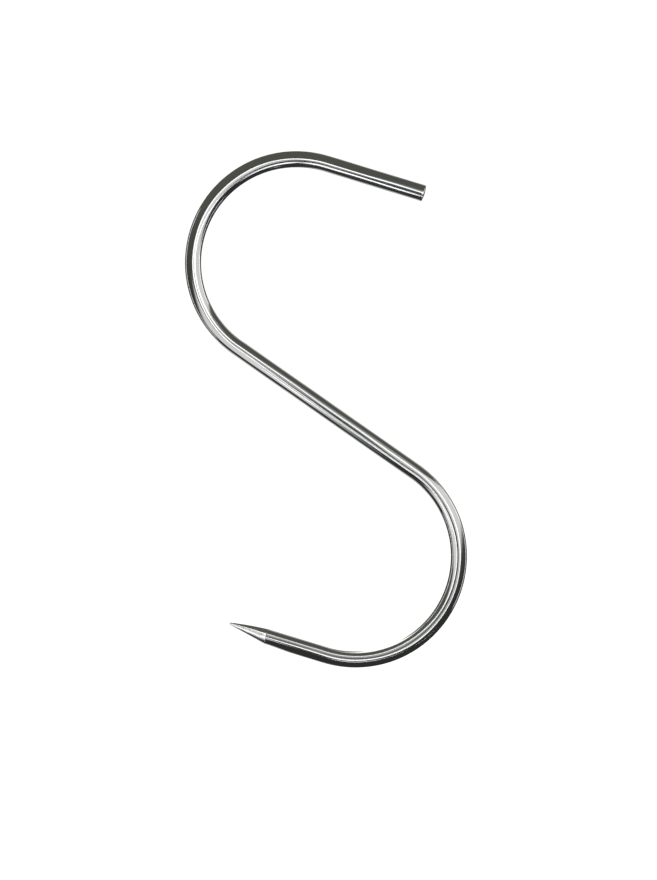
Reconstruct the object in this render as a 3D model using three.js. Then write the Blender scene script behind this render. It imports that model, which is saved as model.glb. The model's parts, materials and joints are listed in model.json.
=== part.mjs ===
// A butcher's S-shaped meat hook, made from one length of round stainless steel rod.
//
// The rod is cut to length, ground to a point at one end, and bent round a mandrel twice,
// once each way. It is a single piece of metal, so the group holds a single mesh.
//
// Units are millimetres. The hook hangs in the XZ plane as it does in use: +Z is up, along
// the line that the load pulls, +X is to the right and +Y is away from the viewer. The
// origin is the rail seat, which is the inside of the upper bend at its highest point.
//
// The rod is made straight first, as a turned shape about its own axis, and each of its
// vertices is then carried onto the bent centre line.

import * as THREE from "three";

// Driving dimensions.
const ROD_DIAMETER = 6.35; // a quarter of an inch
const OVERALL_LENGTH = 203.2; // 8 inches, outside to outside, along the load line
const BEND_RADIUS = 40.2; // of the centre line, which is a 74 mm mandrel
const BEND_ANGLE = 162; // degrees of each bend
const TAIL_LENGTH = 39.9; // straight rod from the cut end to the upper bend
const LEG_LENGTH = 23.5; // straight rod from the lower bend to where the point begins
const POINT_LENGTH = 15.7;
const POINT_RADIUS = 0.5; // of the ground point, where its rounded end begins
const POINT_ROUNDING = 0.8; // length of that rounded end
const POINT_OFFSET = 0.95; // the point is ground off centre, towards the inside of the hook
const CUT_FACE_RADIUS = 2.45; // flat middle of the cut end
const CUT_RIM_DEPTH = 0.4; // how far the broken rim runs along the rod

// Fineness of the facets.
const SIDES = 24;
const STEPS_PER_BEND = 36;
const STEPS_PER_ROUNDING = 4;

// Worked out from the driving dimensions.
const ROD_RADIUS = ROD_DIAMETER / 2;
const CENTRE_DISTANCE = OVERALL_LENGTH - 2 * (BEND_RADIUS + ROD_RADIUS);
const SHANK_LENGTH = Math.sqrt(CENTRE_DISTANCE ** 2 - (2 * BEND_RADIUS) ** 2);
const SHANK_LEAN = Math.asin((2 * BEND_RADIUS) / CENTRE_DISTANCE); // from the load line
const SHANK_HEADING = 1.5 * Math.PI + SHANK_LEAN; // anticlockwise from +X towards +Z
const BEND_SWEEP = THREE.MathUtils.degToRad(BEND_ANGLE);
const END_HEADING = SHANK_HEADING - BEND_SWEEP; // of the tail and, the same, of the leg
const BEND_LENGTH = BEND_RADIUS * BEND_SWEEP;
const UPPER_BEND_CENTRE = new THREE.Vector2(0, ROD_RADIUS - BEND_RADIUS);

/** The direction that a heading points, as (x, z). */
function along(heading) {
  return new THREE.Vector2(Math.cos(heading), Math.sin(heading));
}

/** The direction to the left of a heading, as (x, z). */
function leftOf(heading) {
  return new THREE.Vector2(-Math.sin(heading), Math.cos(heading));
}

/** The straight and bent stretches of the centre line, from the cut end to the point. */
function centreLineStretches() {
  const straight = (length) => ({ length, turn: 0 });
  const left = 1 / BEND_RADIUS;
  const bend = (turn) => ({ length: BEND_LENGTH, turn });
  return [
    straight(TAIL_LENGTH),
    bend(left),
    straight(SHANK_LENGTH),
    bend(-left),
    straight(LEG_LENGTH + POINT_LENGTH),
  ];
}

/** Where a stretch leads after some distance, from the place and heading it starts with. */
function advance(start, turn, distance) {
  if (turn === 0) {
    const place = start.place.clone().addScaledVector(along(start.heading), distance);
    return { place, heading: start.heading };
  }
  const centre = start.place.clone().addScaledVector(leftOf(start.heading), 1 / turn);
  const heading = start.heading + turn * distance;
  return { place: centre.addScaledVector(leftOf(heading), -1 / turn), heading };
}

/** The place and heading of the cut end, found by going back from the upper bend. */
function cutEnd() {
  const bendStart = UPPER_BEND_CENTRE.clone();
  bendStart.addScaledVector(leftOf(END_HEADING), -BEND_RADIUS);
  return advance({ place: bendStart, heading: END_HEADING }, 0, -TAIL_LENGTH);
}

/** The place and heading on the centre line at a distance from the cut end. */
function centreLineAt(distance) {
  const stretches = centreLineStretches();
  let start = cutEnd();
  let left = distance;
  for (const { length, turn } of stretches.slice(0, -1)) {
    if (left <= length) {
      return advance(start, turn, left);
    }
    start = advance(start, turn, length);
    left -= length;
  }
  return advance(start, stretches.at(-1).turn, left);
}

/** Distances from the cut end at which the straight rod needs a ring of vertices. */
function ringDistances() {
  const distances = [];
  let start = 0;
  for (const { length, turn } of centreLineStretches()) {
    if (turn !== 0) {
      for (let step = 0; step <= STEPS_PER_BEND; step += 1) {
        distances.push(start + (length * step) / STEPS_PER_BEND);
      }
    }
    start += length;
  }
  return distances;
}

/** The straight rod's profile: radius against distance, from the cut face to the point. */
function blankProfile() {
  const rodLength = centreLineStretches().reduce((sum, { length }) => sum + length, 0);
  const pointStart = rodLength - POINT_LENGTH;
  const roundingStart = rodLength - POINT_ROUNDING;
  const rimWidth = ROD_RADIUS - CUT_FACE_RADIUS;
  const profile = [new THREE.Vector2(0, 0)];
  for (let step = 0; step <= STEPS_PER_ROUNDING; step += 1) {
    const angle = (Math.PI / 2) * (step / STEPS_PER_ROUNDING);
    const radius = CUT_FACE_RADIUS + rimWidth * Math.sin(angle);
    profile.push(new THREE.Vector2(radius, CUT_RIM_DEPTH * (1 - Math.cos(angle))));
  }
  for (const distance of ringDistances()) {
    profile.push(new THREE.Vector2(ROD_RADIUS, distance));
  }
  profile.push(new THREE.Vector2(ROD_RADIUS, pointStart));
  for (let step = 0; step < STEPS_PER_ROUNDING; step += 1) {
    const angle = (Math.PI / 2) * (step / STEPS_PER_ROUNDING);
    const distance = roundingStart + POINT_ROUNDING * Math.sin(angle);
    profile.push(new THREE.Vector2(POINT_RADIUS * Math.cos(angle), distance));
  }
  profile.push(new THREE.Vector2(0, rodLength));
  return { profile, pointStart };
}

/** How far the rod's own centre is from the centre line, to its left: only in the point. */
function pointShift(distance, pointStart) {
  const share = Math.max(0, distance - pointStart) / POINT_LENGTH;
  return -POINT_OFFSET * share; // the inside of the lower bend is on the right
}

/** The whole rod: turned straight, then bent vertex by vertex. */
function hookGeometry() {
  const { profile, pointStart } = blankProfile();
  const geometry = new THREE.LatheGeometry(profile, SIDES);
  const position = geometry.getAttribute("position");
  for (let i = 0; i < position.count; i += 1) {
    // The straight rod lies along its own y axis, with x turning into the plane's left.
    const distance = position.getY(i);
    const sideways = position.getX(i) + pointShift(distance, pointStart);
    const { place, heading } = centreLineAt(distance);
    place.addScaledVector(leftOf(heading), sideways);
    position.setXYZ(i, place.x, position.getZ(i), place.y);
  }
  geometry.computeVertexNormals();
  return geometry;
}

/** Drawn stainless steel rod: pale grey metal with a fairly bright surface. */
function stainlessSteel() {
  return new THREE.MeshStandardMaterial({
    color: 0xbdbfbc,
    metalness: 1,
    roughness: 0.25,
  });
}

const hook = new THREE.Mesh(hookGeometry(), stainlessSteel());
hook.name = "hook";

const meatHook = new THREE.Group();
meatHook.add(hook);

export default meatHook;
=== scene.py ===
"""A butcher's S-shaped meat hook, bent from drawn stainless steel rod, as a fine mesh.

The rod is made straight first, as rings of vertices in blank coordinates, and each ring is
then carried onto the bent centre line. Blank coordinates are (side, front, along): side is
to the left of the rod's heading in the plane of the hook, front is towards the viewer and
along is the distance from the cut end. They are kept on the mesh, so that the marks that
drawing, bending and grinding left on the steel follow the rod round its bends.

Lengths are in metres, in the frame of the CAD model: +Z up, +Y away from the viewer.
"""

import json
import math

import bpy
import numpy as np
from mathutils import Matrix, Vector


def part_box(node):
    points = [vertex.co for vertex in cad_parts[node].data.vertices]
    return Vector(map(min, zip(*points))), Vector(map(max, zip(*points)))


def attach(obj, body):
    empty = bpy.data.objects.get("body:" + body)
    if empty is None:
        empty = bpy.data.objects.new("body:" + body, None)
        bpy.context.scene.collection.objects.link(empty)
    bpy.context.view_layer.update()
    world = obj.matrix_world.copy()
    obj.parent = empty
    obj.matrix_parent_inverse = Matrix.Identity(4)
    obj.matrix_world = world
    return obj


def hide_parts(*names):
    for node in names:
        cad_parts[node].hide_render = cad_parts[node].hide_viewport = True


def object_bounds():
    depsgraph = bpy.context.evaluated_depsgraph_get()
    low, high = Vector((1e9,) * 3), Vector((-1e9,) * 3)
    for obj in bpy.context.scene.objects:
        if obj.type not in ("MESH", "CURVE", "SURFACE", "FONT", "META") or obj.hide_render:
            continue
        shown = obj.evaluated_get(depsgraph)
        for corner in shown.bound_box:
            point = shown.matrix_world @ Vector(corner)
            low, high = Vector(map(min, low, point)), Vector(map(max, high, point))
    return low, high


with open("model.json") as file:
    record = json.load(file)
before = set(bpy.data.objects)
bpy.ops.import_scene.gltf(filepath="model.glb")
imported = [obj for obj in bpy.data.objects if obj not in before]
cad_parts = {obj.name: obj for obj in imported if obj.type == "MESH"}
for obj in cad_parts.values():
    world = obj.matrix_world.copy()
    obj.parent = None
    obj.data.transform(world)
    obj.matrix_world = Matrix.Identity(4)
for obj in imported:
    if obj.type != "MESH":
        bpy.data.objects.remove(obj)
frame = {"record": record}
cad_low, cad_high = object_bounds()

MM = 0.001
WHITE = (1, 1, 1, 1)


def link(obj):
    """Puts an object into the scene."""
    bpy.context.scene.collection.objects.link(obj)
    return obj


# ---------------------------------------------------------------------------------------
# Driving dimensions
# ---------------------------------------------------------------------------------------
# The hook, as in the CAD model.
OVERALL_LENGTH = 203.2 * MM  # outside to outside, along the load line
BEND_RADIUS = 40.2 * MM
BEND_SWEEP = math.radians(162)
TAIL_LENGTH = 39.9 * MM  # straight rod from the cut end to the upper bend
LEG_LENGTH = 23.5 * MM  # straight rod from the lower bend to the point
POINT_LENGTH = 15.7 * MM

node_low, node_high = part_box("hook")
ROD_RADIUS = (node_high.y - node_low.y) / 2
CENTRE_DISTANCE = OVERALL_LENGTH - 2 * (BEND_RADIUS + ROD_RADIUS)
SHANK_LENGTH = math.sqrt(CENTRE_DISTANCE**2 - (2 * BEND_RADIUS) ** 2)

# The cut end: a slightly crowned face inside a broken rim.
FACE_RADIUS = 2.45 * MM
FACE_CROWN = 0.25 * MM
RIM_DEPTH = 0.4 * MM

# The ground point. Its outer side is straight, and its inner side curves in. The rod's
# outer side is already ground off a little where the point begins.
POINT_DELAY = 0.6 * MM  # the grinding line is this much nearer the tip than in the CAD
OUTER_START = 0.45 * MM  # ground off the outer side at that line
OUTER_EASE = 12 * MM  # over which that comes on
OUTER_TAPER = 0.2172
INNER_TAPER = 0.06
INNER_CURVE = 4.3  # times the square of the distance, in metres
POINT_ROUNDING = 0.8 * MM

# Soft flats on the inner side of the point.
FLATS = 6  # as many as there would be all round
FLATS_TURN = math.radians(-5.5)
FLATS_BEGIN = 0.5  # cosine of the angle from the outer side at which they begin
FLATS_DEPTH = 0.85  # 1 would be flat, 0 round
FLATS_EASE = 2.5 * MM  # over which they come on
WANDER = 0.006  # unevenness of the point, as a share of its radius
WANDER_CRESTS = 5  # round the point
WANDER_TWIST = 140  # radians for each metre along it

# How far the rod is from a perfect round bar.
BEND_FLATTENING = 0.012  # share of the radius
BEND_EASE = 8 * MM  # over which the flattening comes and goes
WAVE_HEIGHT = 0.012 * MM
# Each wave's crests round the rod, length along it for a radian, phase and share of height.
WAVES = (
    (3, 7 * MM, 0, 1),
    (5, -4.3 * MM, 1, 0.6),
    (2, 11 * MM, 2, 0.5),
)

# Fineness of the mesh.
SIDES = 96
ROD_STEP = 0.75 * MM
POINT_STEP = 0.2 * MM
FACE_RINGS = 10
RIM_RINGS = 6
ROUNDING_RINGS = 8


# ---------------------------------------------------------------------------------------
# The centre line
# ---------------------------------------------------------------------------------------
def along(heading):
    """The unit vector of a heading, which is anticlockwise from +X towards +Z."""
    return Vector((math.cos(heading), 0, math.sin(heading)))


def left_of(heading):
    """The unit vector to the left of a heading, in the plane of the hook."""
    return Vector((-math.sin(heading), 0, math.cos(heading)))


def cut_end():
    """The place of the cut end's middle and the heading there, from the record's mount."""
    mounts = {mount["name"]: mount for mount in frame["record"]["mounts"]}
    mount = mounts["cut_end"]
    outward = Vector(mount["axis"])
    return Vector(mount["pos_m"]), math.atan2(-outward.z, -outward.x)


# Lengths along the centre line from the cut end, each with its turn to the left per metre.
STRETCHES = [
    (TAIL_LENGTH, 0),
    (BEND_RADIUS * BEND_SWEEP, 1 / BEND_RADIUS),
    (SHANK_LENGTH, 0),
    (BEND_RADIUS * BEND_SWEEP, -1 / BEND_RADIUS),
    (LEG_LENGTH + POINT_LENGTH, 0),
]
ROD_LENGTH = sum(length for length, _ in STRETCHES)
POINT_START = ROD_LENGTH - POINT_LENGTH + POINT_DELAY


def advance(place, heading, turn, distance):
    """Where a stretch leads after a distance, and the heading there."""
    if turn == 0:
        return place + along(heading) * distance, heading
    centre = place + left_of(heading) / turn
    heading += turn * distance
    return centre - left_of(heading) / turn, heading


def centre_line_at(distance):
    """The place and heading on the centre line at a distance from the cut end."""
    place, heading = cut_end()
    for length, turn in STRETCHES[:-1]:
        if distance <= length:
            return advance(place, heading, turn, distance)
        place, heading = advance(place, heading, turn, length)
        distance -= length
    return advance(place, heading, STRETCHES[-1][1], distance)


# ---------------------------------------------------------------------------------------
# The straight blank
# ---------------------------------------------------------------------------------------
def smooth_step(x):
    """0 up to x = 0 and 1 from x = 1 on, with a smooth rise between them."""
    x = min(max(x, 0), 1)
    return x * x * (3 - 2 * x)


def bend_share(distance):
    """1 inside a bend, 0 on the straights, easing between the two."""
    share = 0
    start = 0
    for length, turn in STRETCHES:
        if turn != 0:
            inside = min(distance - start, start + length - distance)
            share = max(share, smooth_step(0.5 + inside / BEND_EASE))
        start += length
    return share


def rod_ring(distance, angles):
    """A ring of the plain rod, as side and front for each angle."""
    wave = sum(
        share * np.sin(crests * angles + distance / length + phase)
        for crests, length, phase, share in WAVES
    )
    radius = ROD_RADIUS + WAVE_HEIGHT * wave
    flattening = BEND_FLATTENING * bend_share(distance)
    side = radius * (1 - flattening) * np.cos(angles)
    front = radius * (1 + flattening) * np.sin(angles)
    ground = OUTER_START * smooth_step(1 - (POINT_START - distance) / OUTER_EASE)
    side = np.where(side > 0, side * (1 - ground / ROD_RADIUS), side)
    return side, front


def flats_cut(angles):
    """How far flats all round lie inside the circle through their corners, as a share of it."""
    flat = 2 * math.pi / FLATS
    off_middle = (angles - FLATS_TURN) % flat - flat / 2
    return 1 - math.cos(flat / 2) / np.cos(off_middle)


def point_ring(distance, angles):
    """A ring of the ground point, with the soft flats that grinding by hand leaves."""
    run = distance - POINT_START
    outer = ROD_RADIUS - OUTER_START - OUTER_TAPER * run
    inner = ROD_RADIUS - INNER_TAPER * run - INNER_CURVE * run * run
    radius = (inner + outer) / 2
    wander = WANDER * np.cos(WANDER_CRESTS * angles - WANDER_TWIST * run)
    depth = FLATS_DEPTH * np.clip(FLATS_BEGIN - np.cos(angles), 0, 1)
    cut = smooth_step(run / FLATS_EASE) * (depth * flats_cut(angles) + wander)
    side = (outer - inner) / 2 + radius * (1 - cut) * np.cos(angles)
    front = radius * (1 - cut) * np.sin(angles)
    return side, front


def blank_rings():
    """Every ring as (side, front, along, kind) from the cut face on, and the tip's side."""
    angles = np.arange(SIDES) * 2 * math.pi / SIDES
    circle = (np.cos(angles), np.sin(angles))
    rings = []

    def round_ring(radius, distance, kind):
        rings.append((radius * circle[0], radius * circle[1], distance, kind))

    for step in range(1, FACE_RINGS + 1):
        share = step / FACE_RINGS
        round_ring(FACE_RADIUS * share, FACE_CROWN * share * share, "face")
    for step in range(1, RIM_RINGS):
        turn = math.pi / 2 * step / RIM_RINGS
        radius = FACE_RADIUS + (ROD_RADIUS - FACE_RADIUS) * math.sin(turn)
        round_ring(radius, FACE_CROWN + RIM_DEPTH * (1 - math.cos(turn)), "rim")
    rod_start = FACE_CROWN + RIM_DEPTH
    steps = round((POINT_START - rod_start) / ROD_STEP)
    for step in range(steps + 1):
        distance = rod_start + (POINT_START - rod_start) * step / steps
        rings.append((*rod_ring(distance, angles), distance, "rod"))
    rounding_start = ROD_LENGTH - POINT_ROUNDING
    steps = round((rounding_start - POINT_START) / POINT_STEP)
    for step in range(1, steps + 1):
        distance = POINT_START + (rounding_start - POINT_START) * step / steps
        rings.append((*point_ring(distance, angles), distance, "point"))
    side, front, _, _ = rings[-1]
    middle = side.mean()
    for step in range(1, ROUNDING_RINGS):
        turn = math.pi / 2 * step / ROUNDING_RINGS
        shrink = math.cos(turn)
        distance = rounding_start + POINT_ROUNDING * math.sin(turn)
        rings.append((middle + (side - middle) * shrink, front * shrink, distance, "point"))
    return rings, middle


# ---------------------------------------------------------------------------------------
# The bent rod
# ---------------------------------------------------------------------------------------
def bend_point(side, front, distance):
    """Where a place on the straight blank goes when the rod is bent."""
    place, heading = centre_line_at(distance)
    return place + left_of(heading) * side + Vector((0, -front, 0))


def vertex(ring, side):
    """A vertex's number. Number 0 is the middle of the cut face."""
    return 1 + ring * SIDES + side % SIDES


def skin(kinds):
    """The faces over rings of the given kinds: each one's corners, UV corners and kind."""
    faces = []
    last = len(kinds) - 1
    tip = vertex(last + 1, 0)
    for side in range(SIDES):
        corners = (0, vertex(0, side + 1), vertex(0, side))
        uvs = [(side + 0.5, 0), (side + 1, 1), (side, 1)]
        faces.append((corners, uvs, "face"))
    for ring in range(last):
        for side in range(SIDES):
            corners = (
                vertex(ring, side),
                vertex(ring, side + 1),
                vertex(ring + 1, side + 1),
                vertex(ring + 1, side),
            )
            uvs = [(side, ring), (side + 1, ring), (side + 1, ring + 1), (side, ring + 1)]
            faces.append((corners, uvs, kinds[ring + 1]))
    for side in range(SIDES):
        corners = (vertex(last, side), vertex(last, side + 1), tip)
        uvs = [(side, last), (side + 1, last), (side + 0.5, last + 1)]
        faces.append((corners, uvs, "point"))
    return faces


def make_hook(materials):
    """The whole hook as one closed mesh, with a material for each kind of surface."""
    rings, tip_side = blank_rings()
    blank = [(0, 0, 0)]
    for side, front, distance, _ in rings:
        blank += [(a, b, distance) for a, b in zip(side, front)]
    blank.append((tip_side, 0, ROD_LENGTH))
    kinds = [kind for _, _, _, kind in rings]
    faces, face_uvs, face_kinds = zip(*skin(kinds))

    mesh = bpy.data.meshes.new("steel_rod")
    mesh.from_pydata([bend_point(*place) for place in blank], [], faces)
    for material in materials.values():
        mesh.materials.append(material)
    slots = {kind: number for number, kind in enumerate(materials)}
    slots["rim"] = slots["rod"]
    mesh.polygons.foreach_set("material_index", [slots[kind] for kind in face_kinds])
    mesh.shade_smooth()
    attribute = mesh.attributes.new("blank", "FLOAT_VECTOR", "POINT")
    attribute.data.foreach_set("vector", np.array(blank, dtype=float).ravel())
    uv_map = mesh.uv_layers.new(name="round_and_along")
    uvs = [uv for corners in face_uvs for uv in corners]
    scaled = np.array(uvs, dtype=float) / (SIDES, len(rings))
    uv_map.data.foreach_set("uv", scaled.ravel())
    sharpen(mesh, kinds.index("point") - 1)
    sharpen(mesh, kinds.index("rim") - 1)
    mesh.update()
    return link(bpy.data.objects.new("steel_rod", mesh))


def sharpen(mesh, ring):
    """Marks the edges of one ring as a sharp corner."""
    first = vertex(ring, 0)
    for edge in mesh.edges:
        if all(first <= index < first + SIDES for index in edge.vertices):
            edge.use_edge_sharp = True


# ---------------------------------------------------------------------------------------
# Node helpers
# ---------------------------------------------------------------------------------------
def put(tree, socket, value):
    """Links a socket to another one, or sets it to a plain value."""
    if isinstance(value, bpy.types.NodeSocket):
        tree.links.new(value, socket)
    else:
        socket.default_value = value


def add(tree, kind, inputs=(), **settings):
    """A new node with its settings and its inputs, which go by name or number."""
    node = tree.nodes.new(kind)
    for name, value in settings.items():
        setattr(node, name, value)
    for name, value in dict(inputs).items():
        put(tree, node.inputs[name], value)
    return node


def maths(tree, operation, first, second=0.0, third=0.0):
    """The result of an operation on up to three values."""
    inputs = {0: first, 1: second, 2: third}
    return add(tree, "ShaderNodeMath", inputs, operation=operation).outputs[0]


def remap(tree, value, low, high, to_low, to_high):
    """Carries low..high smoothly onto to_low..to_high."""
    inputs = {0: value, 1: low, 2: high, 3: to_low, 4: to_high}
    kind = "ShaderNodeMapRange"
    return add(tree, kind, inputs, interpolation_type="SMOOTHSTEP").outputs[0]


def stretched(tree, vector, across, lengthwise, slant=0.0):
    """Coordinates in which one unit is across wide round the rod and lengthwise long."""
    rotation = (slant, slant, 0)
    slanted = add(tree, "ShaderNodeMapping", {"Vector": vector, "Rotation": rotation})
    scale = (1 / across, 1 / across, 1 / lengthwise)
    inputs = {"Vector": slanted.outputs[0], "Scale": scale}
    return add(tree, "ShaderNodeMapping", inputs).outputs[0]


def noise(tree, vector, detail=2.0):
    """Noise from about -0.5 to 0.5, in steps about one unit of the vector wide."""
    inputs = {"Vector": vector, "Scale": 1.0, "Detail": detail, "Roughness": 0.5}
    value = add(tree, "ShaderNodeTexNoise", inputs).outputs[0]
    return maths(tree, "SUBTRACT", value, 0.5)


def weighted(tree, *terms):
    """The sum of value times weight over the terms, each of which is such a pair."""
    total = 0.0
    for value, weight in terms:
        total = maths(tree, "MULTIPLY_ADD", value, weight, total)
    return total


def mixed(tree, share, first, second):
    """A colour between two, by a share from 0 to 1."""
    node = tree.nodes.new("ShaderNodeMix")
    node.data_type = "RGBA"
    put(tree, named(node.inputs, "Factor", "VALUE"), share)
    put(tree, named(node.inputs, "A", "RGBA"), first)
    put(tree, named(node.inputs, "B", "RGBA"), second)
    return named(node.outputs, "Result", "RGBA")


def named(sockets, name, kind):
    """The first socket with a name and a kind."""
    return next(socket for socket in sockets if socket.name == name and socket.type == kind)


# ---------------------------------------------------------------------------------------
# The steel
# ---------------------------------------------------------------------------------------
NOISE_REACH = 0.3  # noise about 0 lies mostly within this much of it

# The drawn rod. Each mark's width round the rod and its length along it.
DRAWN_ROUGHNESS = 0.12
DRAWN_ANISOTROPY = 0.3
DRAWN_DARK = (0.66, 0.66, 0.65, 1)
DRAWN_LIGHT = (0.74, 0.74, 0.73, 1)
DIE_LINES = (0.4 * MM, 30 * MM)
SATIN = (0.09 * MM, 5 * MM)
BANDS = (5 * MM, 0.9 * MM)
DRAWN_PATCHES = (3 * MM, 14 * MM)

# The ground point. The scratches also have a slant, in radians.
GROUND_ROUGHNESS = 0.2
GROUND_ANISOTROPY = 0.3
GROUND_DARK = (0.66, 0.66, 0.65, 1)
GROUND_LIGHT = (0.98, 0.98, 0.97, 1)
COARSE_SCRATCHES = (0.3 * MM, 2.5 * MM, 0.25)
FINE_SCRATCHES = (0.1 * MM, 1.2 * MM, -0.2)
GROUND_PATCHES = (0.9 * MM, 1.6 * MM)

# The cut face. The shear marks run from front to back.
CUT_ROUGHNESS = 0.42
CUT_ANISOTROPY = 0.2
CUT_DARK = (0.5, 0.5, 0.49, 1)
CUT_LIGHT = (0.7, 0.7, 0.69, 1)
SHEAR_WIDTH = 0.25 * MM
SHEAR_LENGTH = 3 * MM
SHEAR_DEPTH = 1 * MM
CUT_GRAIN = (0.3 * MM, 0.3 * MM)


def new_steel(name, anisotropy):
    """A metallic material: itself, its tree, its shader and the blank coordinates in it."""
    material = bpy.data.materials.new(name)
    material.use_nodes = True
    tree = material.node_tree
    shader = tree.nodes["Principled BSDF"]
    shader.inputs["Metallic"].default_value = 1.0
    shader.inputs["Anisotropic"].default_value = anisotropy
    tangent = add(tree, "ShaderNodeTangent", direction_type="UV_MAP", uv_map="round_and_along")
    put(tree, shader.inputs["Tangent"], tangent.outputs[0])
    blank = add(tree, "ShaderNodeAttribute", attribute_name="blank").outputs["Vector"]
    return material, tree, shader, blank


def set_roughness(tree, shader, base, *terms):
    """A base roughness plus the sum of value times weight over the terms."""
    rough = maths(tree, "ADD", weighted(tree, *terms), base)
    put(tree, shader.inputs["Roughness"], rough)


def set_colour(tree, shader, dark, light, *terms):
    """From dark to light by the sum of value times weight over the terms."""
    shade = weighted(tree, *terms)
    share = remap(tree, shade, -NOISE_REACH, NOISE_REACH, 0.0, 1.0)
    put(tree, shader.inputs["Base Color"], mixed(tree, share, dark, light))


def set_height(tree, shader, *terms):
    """Raises the surface by the sum of value times height in metres over the terms."""
    inputs = {"Strength": 1.0, "Distance": 1.0, "Height": weighted(tree, *terms)}
    put(tree, shader.inputs["Normal"], add(tree, "ShaderNodeBump", inputs).outputs[0])


def drawn_steel():
    """Rod as it comes from the die: fine lines along it, and faint bands across it."""
    material, tree, shader, blank = new_steel("drawn_steel", DRAWN_ANISOTROPY)
    die_lines = noise(tree, stretched(tree, blank, *DIE_LINES), detail=3)
    satin = noise(tree, stretched(tree, blank, *SATIN))
    bands = noise(tree, stretched(tree, blank, *BANDS))
    patches = noise(tree, stretched(tree, blank, *DRAWN_PATCHES), detail=3)
    rough = ((patches, 0.06), (die_lines, 0.04), (bands, 0.02))
    set_roughness(tree, shader, DRAWN_ROUGHNESS, *rough)
    set_colour(tree, shader, DRAWN_DARK, DRAWN_LIGHT, (patches, 0.5), (die_lines, 0.5))
    set_height(tree, shader, (die_lines, 1.6e-6), (satin, 0.1e-6), (bands, 3e-6))
    return material


def ground_steel():
    """The point, ground by hand: coarse uneven scratches, duller and paler than the rod."""
    material, tree, shader, blank = new_steel("ground_steel", GROUND_ANISOTROPY)
    coarse = noise(tree, stretched(tree, blank, *COARSE_SCRATCHES), detail=3)
    fine = noise(tree, stretched(tree, blank, *FINE_SCRATCHES), detail=3)
    patches = noise(tree, stretched(tree, blank, *GROUND_PATCHES))
    set_roughness(tree, shader, GROUND_ROUGHNESS, (patches, 0.12), (coarse, 0.08))
    shade = ((coarse, 0.8), (patches, 0.5), (fine, 0.3))
    set_colour(tree, shader, GROUND_DARK, GROUND_LIGHT, *shade)
    set_height(tree, shader, (coarse, 2e-6), (fine, 0.5e-6))
    return material


def cut_steel():
    """The cut face: straight shear marks across it, duller than the rod."""
    material, tree, shader, blank = new_steel("cut_steel", CUT_ANISOTROPY)
    scale = (1 / SHEAR_WIDTH, 1 / SHEAR_LENGTH, 1 / SHEAR_DEPTH)
    across = add(tree, "ShaderNodeMapping", {"Vector": blank, "Scale": scale}).outputs[0]
    marks = noise(tree, across, detail=3)
    grain = noise(tree, stretched(tree, blank, *CUT_GRAIN), detail=3)
    set_roughness(tree, shader, CUT_ROUGHNESS, (grain, 0.2), (marks, 0.1))
    set_colour(tree, shader, CUT_DARK, CUT_LIGHT, (marks, 0.7), (grain, 0.4))
    set_height(tree, shader, (marks, 12e-6), (grain, 8e-6))
    return material


# ---------------------------------------------------------------------------------------
# The camera, and places and directions as it sees them
# ---------------------------------------------------------------------------------------
VIEW_CENTRE = Vector((-1.39 * MM, 0, -107.12 * MM))
VIEW_ROLL = math.radians(11.38)
VIEW_HEIGHT = 342.2 * MM  # of the picture, at the hook
VIEW_DISTANCE = 1.0
SENSOR_SIZE = 36  # in millimetres, along the picture's height
CLIP_START = 0.01
CLIP_END = 20
VIEW_RIGHT = Vector((math.cos(VIEW_ROLL), 0, -math.sin(VIEW_ROLL)))
VIEW_UP = Vector((math.sin(VIEW_ROLL), 0, math.cos(VIEW_ROLL)))
VIEW_TOWARDS = Vector((0, -1, 0))


def seen_at(right, up, towards):
    """A place by how the camera sees it: in metres from the picture's middle."""
    return VIEW_CENTRE + VIEW_RIGHT * right + VIEW_UP * up + VIEW_TOWARDS * towards


def direction_seen(parts):
    """A direction by how the camera sees it: right, up and towards the camera."""
    return VIEW_RIGHT * parts[0] + VIEW_UP * parts[1] + VIEW_TOWARDS * parts[2]


def turned(axes, place):
    """The matrix that puts an object at a place, with its own axes along the given ones."""
    return Matrix.Translation(place) @ Matrix(axes).transposed().to_4x4()


def make_camera():
    """A camera as far from the hook as VIEW_DISTANCE, turned by VIEW_ROLL."""
    data = bpy.data.cameras.new("camera")
    data.sensor_width = SENSOR_SIZE
    data.lens = SENSOR_SIZE * VIEW_DISTANCE / VIEW_HEIGHT
    data.clip_start = CLIP_START
    data.clip_end = CLIP_END
    camera = link(bpy.data.objects.new("camera", data))
    axes = (VIEW_RIGHT, VIEW_UP, VIEW_TOWARDS)
    camera.matrix_world = turned(axes, seen_at(0, 0, VIEW_DISTANCE))
    bpy.context.scene.camera = camera


# ---------------------------------------------------------------------------------------
# The studio
# ---------------------------------------------------------------------------------------
RING_COLOUR = (0.97, 0.99, 1.0, 1)
PANEL_COLOUR = (0.99, 1.0, 1.0, 1)
LENS_COLOUR = (0.1, 0.55, 1.0, 1)


def rectangle(x, y):
    """The corners of a flat card from -x to x and from -y to y."""
    return [(-x, -y, 0), (x, -y, 0), (x, y, 0), (-x, y, 0)]


def glowing(name, places, faces, centre, axes, colour, emission):
    """A glowing card that only reflections see, with its strength made by emission(tree)."""
    mesh = bpy.data.meshes.new(name)
    mesh.from_pydata(places, [], faces)
    material = bpy.data.materials.new(name)
    material.use_nodes = True
    tree = material.node_tree
    tree.nodes.clear()
    glow = add(tree, "ShaderNodeEmission", {"Color": colour, "Strength": emission(tree)})
    clear = add(tree, "ShaderNodeBsdfTransparent")
    both = add(tree, "ShaderNodeAddShader", {0: glow.outputs[0], 1: clear.outputs[0]})
    add(tree, "ShaderNodeOutputMaterial", {"Surface": both.outputs[0]})
    mesh.materials.append(material)
    card = link(bpy.data.objects.new(name, mesh))
    card.matrix_world = turned(axes, seen_at(*centre))
    card.visible_camera = False
    card.visible_shadow = False
    card.visible_diffuse = False


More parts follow.
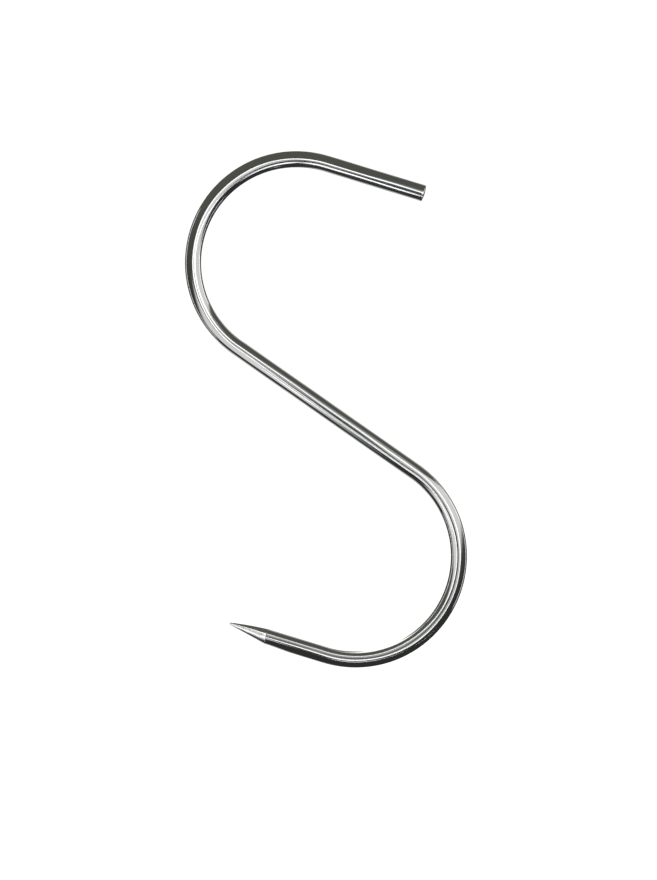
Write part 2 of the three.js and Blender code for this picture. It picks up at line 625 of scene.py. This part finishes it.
def place_on_card(tree):
    """How far a place is from the middle of its card, along the card's x and y."""
    coordinates = add(tree, "ShaderNodeTexCoord").outputs["Object"]
    split = add(tree, "ShaderNodeSeparateXYZ", {0: coordinates})
    return split.outputs[0], split.outputs[1]


# The ring is an oval: its long way across is RING_STRETCH times its short way across.
RING_CENTRE = (20.7 * MM, -7 * MM, 155 * MM)
RING_INNER = 67 * MM
RING_OUTER = 87 * MM
RING_SOFTNESS = 4 * MM
RING_STRETCH = 1.54
RING_TURN = math.radians(30)
RING_GLOW = 2.0
RING_SIDES = 64


def ring_emission(tree):
    """Even across the ring, and fading to nothing at its two edges."""
    x, y = place_on_card(tree)
    y = maths(tree, "DIVIDE", y, RING_STRETCH)
    across = maths(tree, "MULTIPLY", x, x)
    squared = maths(tree, "MULTIPLY_ADD", y, y, across)
    radius = maths(tree, "SQRT", squared)
    inner = (RING_INNER - RING_SOFTNESS, RING_INNER + RING_SOFTNESS)
    outer = (RING_OUTER - RING_SOFTNESS, RING_OUTER + RING_SOFTNESS)
    rise = remap(tree, radius, *inner, 0.0, RING_GLOW)
    fall = remap(tree, radius, *outer, 1.0, 0.0)
    return maths(tree, "MULTIPLY", rise, fall)


def make_ring_light():
    """The oval ring light round the lens."""
    places = []
    faces = []
    for side in range(RING_SIDES):
        turn = 2 * math.pi * side / RING_SIDES
        for radius in (RING_INNER - RING_SOFTNESS, RING_OUTER + RING_SOFTNESS):
            y = RING_STRETCH * radius * math.sin(turn)
            places.append((radius * math.cos(turn), y, 0))
        start = 2 * side
        end = 2 * ((side + 1) % RING_SIDES)
        faces.append((start, start + 1, end + 1, end))
    short_way = direction_seen((math.cos(RING_TURN), math.sin(RING_TURN), 0))
    long_way = direction_seen((-math.sin(RING_TURN), math.cos(RING_TURN), 0))
    axes = (short_way, long_way, VIEW_TOWARDS)
    glowing("ring_front", places, faces, RING_CENTRE, axes, RING_COLOUR, ring_emission)


# The panels as the camera sees them, all but the glow and the colour in millimetres:
# middle, half-length one way and the other way, softness of the edge, glow and colour.
PANELS = {
    "panel_right": ((364, 184, 92), (-68, -168, -101), (-312, -143, 449), 25, 0.78),
    "panel_left": ((-172, -75, 185), (-40, 81, -28), (3, 55, 157), 25, 0.85),
    "panel_above": ((122, 169, 237), (5, -35, 64), (-193, -162, -75), 25, 0.36),
    "panel_below_left": ((-86, -142, 190), (-18, -46, 81), (41, -21, -3), 6, 1.8),
    "panel_below_right": ((107, -245, 176), (-18, -46, 81), (126, -67, -9), 12, 1.8),
    "strip_right": ((420, 20, -150), (8, 0, 22), (0, 300, 0), 6, 1.6),
    "strip_left": ((-420, 20, -150), (8, 0, -22), (0, 300, 0), 6, 1.6),
    "point_card": ((-38.7, -77, 14.4), (-12.4, 3.9, 0), (-5.4, -17.2, -1.6), 2, 0.3),
    "rim_card": ((17.5, -68.1, -14), (-5.8, -1.5, 0), (-3.1, 12.1, 6), 2, 1.5),
    "lens": ((20.7, -7, 156), (39, 22, 0), (-35, 61, 0), 15, 0.025, LENS_COLOUR),
}


def in_metres(parts):
    """Lengths in millimetres, turned into metres."""
    return [part * MM for part in parts]


def make_panel(name, centre, across, lengthwise, softness, glow, colour=PANEL_COLOUR):
    """A panel with soft edges, from a row of PANELS."""
    softness *= MM
    across = direction_seen(in_metres(across))
    lengthwise = direction_seen(in_metres(lengthwise))
    halves = (across.length, lengthwise.length)
    x_axis = across.normalized()
    z_axis = across.cross(lengthwise).normalized()
    y_axis = z_axis.cross(x_axis)

    def emission(tree):
        product = glow
        for place, half in zip(place_on_card(tree), halves):
            distance = maths(tree, "ABSOLUTE", place)
            edge = remap(tree, distance, half - softness, half + softness, 1.0, 0.0)
            product = maths(tree, "MULTIPLY", edge, product)
        return product

    places = rectangle(*(half + softness for half in halves))
    axes = (x_axis, y_axis, z_axis)
    glowing(name, places, [(0, 1, 2, 3)], in_metres(centre), axes, colour, emission)


ROOM_BELOW = (0.034, 0.035, 0.034, 1)
ROOM_ABOVE = (0.105, 0.105, 0.092, 1)
ROOM_EDGE = (-0.5, 0.6)  # cosines to the view's up, where above begins and where it is full
BACKGROUND_GLOW = 1.05

# Glows in the distance behind the hook: the way to each as the camera sees it, and its
# brightness. Each fades out between two angles from its middle, given by their cosines.
BACKDROPS = (((-0.34, -0.49, -0.803), 0.65), ((0.34, 0.49, -0.803), 0.65))
BACKDROP_EDGE = (math.cos(math.radians(22)), math.cos(math.radians(8)))


def towards_share(tree, direction, axis, low, high):
    """0 where a direction's cosine to an axis is low, and 1 where it is high."""
    inputs = {0: direction, 1: axis}
    product = add(tree, "ShaderNodeVectorMath", inputs, operation="DOT_PRODUCT")
    return remap(tree, product.outputs["Value"], low, high, 0.0, 1.0)


def make_world():
    """Dim surroundings for the steel to reflect, and a white background behind it."""
    world = bpy.data.worlds.new("studio")
    bpy.context.scene.world = world
    world.use_nodes = True
    tree = world.node_tree
    tree.nodes.clear()
    direction = add(tree, "ShaderNodeTexCoord").outputs["Generated"]
    above = towards_share(tree, direction, VIEW_UP, *ROOM_EDGE)
    colour = mixed(tree, above, ROOM_BELOW, ROOM_ABOVE)
    for axis, brightness in BACKDROPS:
        share = towards_share(tree, direction, direction_seen(axis), *BACKDROP_EDGE)
        colour = mixed(tree, share, colour, (brightness, brightness, brightness, 1))
    room = add(tree, "ShaderNodeBackground", {"Color": colour, "Strength": 1.0})
    background = {"Color": WHITE, "Strength": BACKGROUND_GLOW}
    white = add(tree, "ShaderNodeBackground", background)
    seen = add(tree, "ShaderNodeLightPath").outputs["Is Camera Ray"]
    both = add(tree, "ShaderNodeMixShader", {0: seen, 1: room.outputs[0], 2: white.outputs[0]})
    add(tree, "ShaderNodeOutputWorld", {"Surface": both.outputs[0]})


FLOOR_DROP = 110 * MM  # below the hook
FLOOR_SIZE = 12.0
FLOOR_COLOUR = (0.8, 0.8, 0.8, 1)
FLOOR_ROUGHNESS = 0.9
FLOOR_GLOW = 1.05
OVERHEAD_HEIGHT = 0.9
OVERHEAD_SIZE = 0.5
OVERHEAD_POWER = 3.0


def make_floor():
    """A plain pale floor under the hanging hook, which the steel doesn't reflect."""
    mesh = bpy.data.meshes.new("floor")
    mesh.from_pydata(rectangle(FLOOR_SIZE / 2, FLOOR_SIZE / 2), [], [(0, 1, 2, 3)])
    material = bpy.data.materials.new("pale_floor")
    material.use_nodes = True
    shader = material.node_tree.nodes["Principled BSDF"]
    shader.inputs["Base Color"].default_value = FLOOR_COLOUR
    shader.inputs["Roughness"].default_value = FLOOR_ROUGHNESS
    shader.inputs["Emission Color"].default_value = WHITE
    shader.inputs["Emission Strength"].default_value = FLOOR_GLOW
    mesh.materials.append(material)
    floor = link(bpy.data.objects.new("floor", mesh))
    floor.location = (0, 0, cad_low.z - FLOOR_DROP)
    floor.visible_glossy = False


def make_overhead_light():
    """A soft light from straight above, for everything but reflections."""
    data = bpy.data.lights.new("overhead", "AREA")
    data.size = OVERHEAD_SIZE
    data.energy = OVERHEAD_POWER
    light = link(bpy.data.objects.new("overhead", data))
    light.location = (0, 0, OVERHEAD_HEIGHT)
    light.visible_glossy = False
    light.visible_camera = False


def make_studio():
    """Everything round the hook, and colours shown as they come from the camera."""
    make_world()
    make_floor()
    make_overhead_light()
    make_ring_light()
    for name, row in PANELS.items():
        make_panel(name, *row)
    view = bpy.context.scene.view_settings
    view.view_transform = "Standard"
    view.look = "None"


# ---------------------------------------------------------------------------------------
# The scene
# ---------------------------------------------------------------------------------------
surfaces = {"rod": drawn_steel(), "point": ground_steel(), "face": cut_steel()}
hook = make_hook(surfaces)
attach(hook, "root")
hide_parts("hook")
hook.visible_glossy = False  # it shows the studio only, and no image of itself

make_camera()
make_studio()
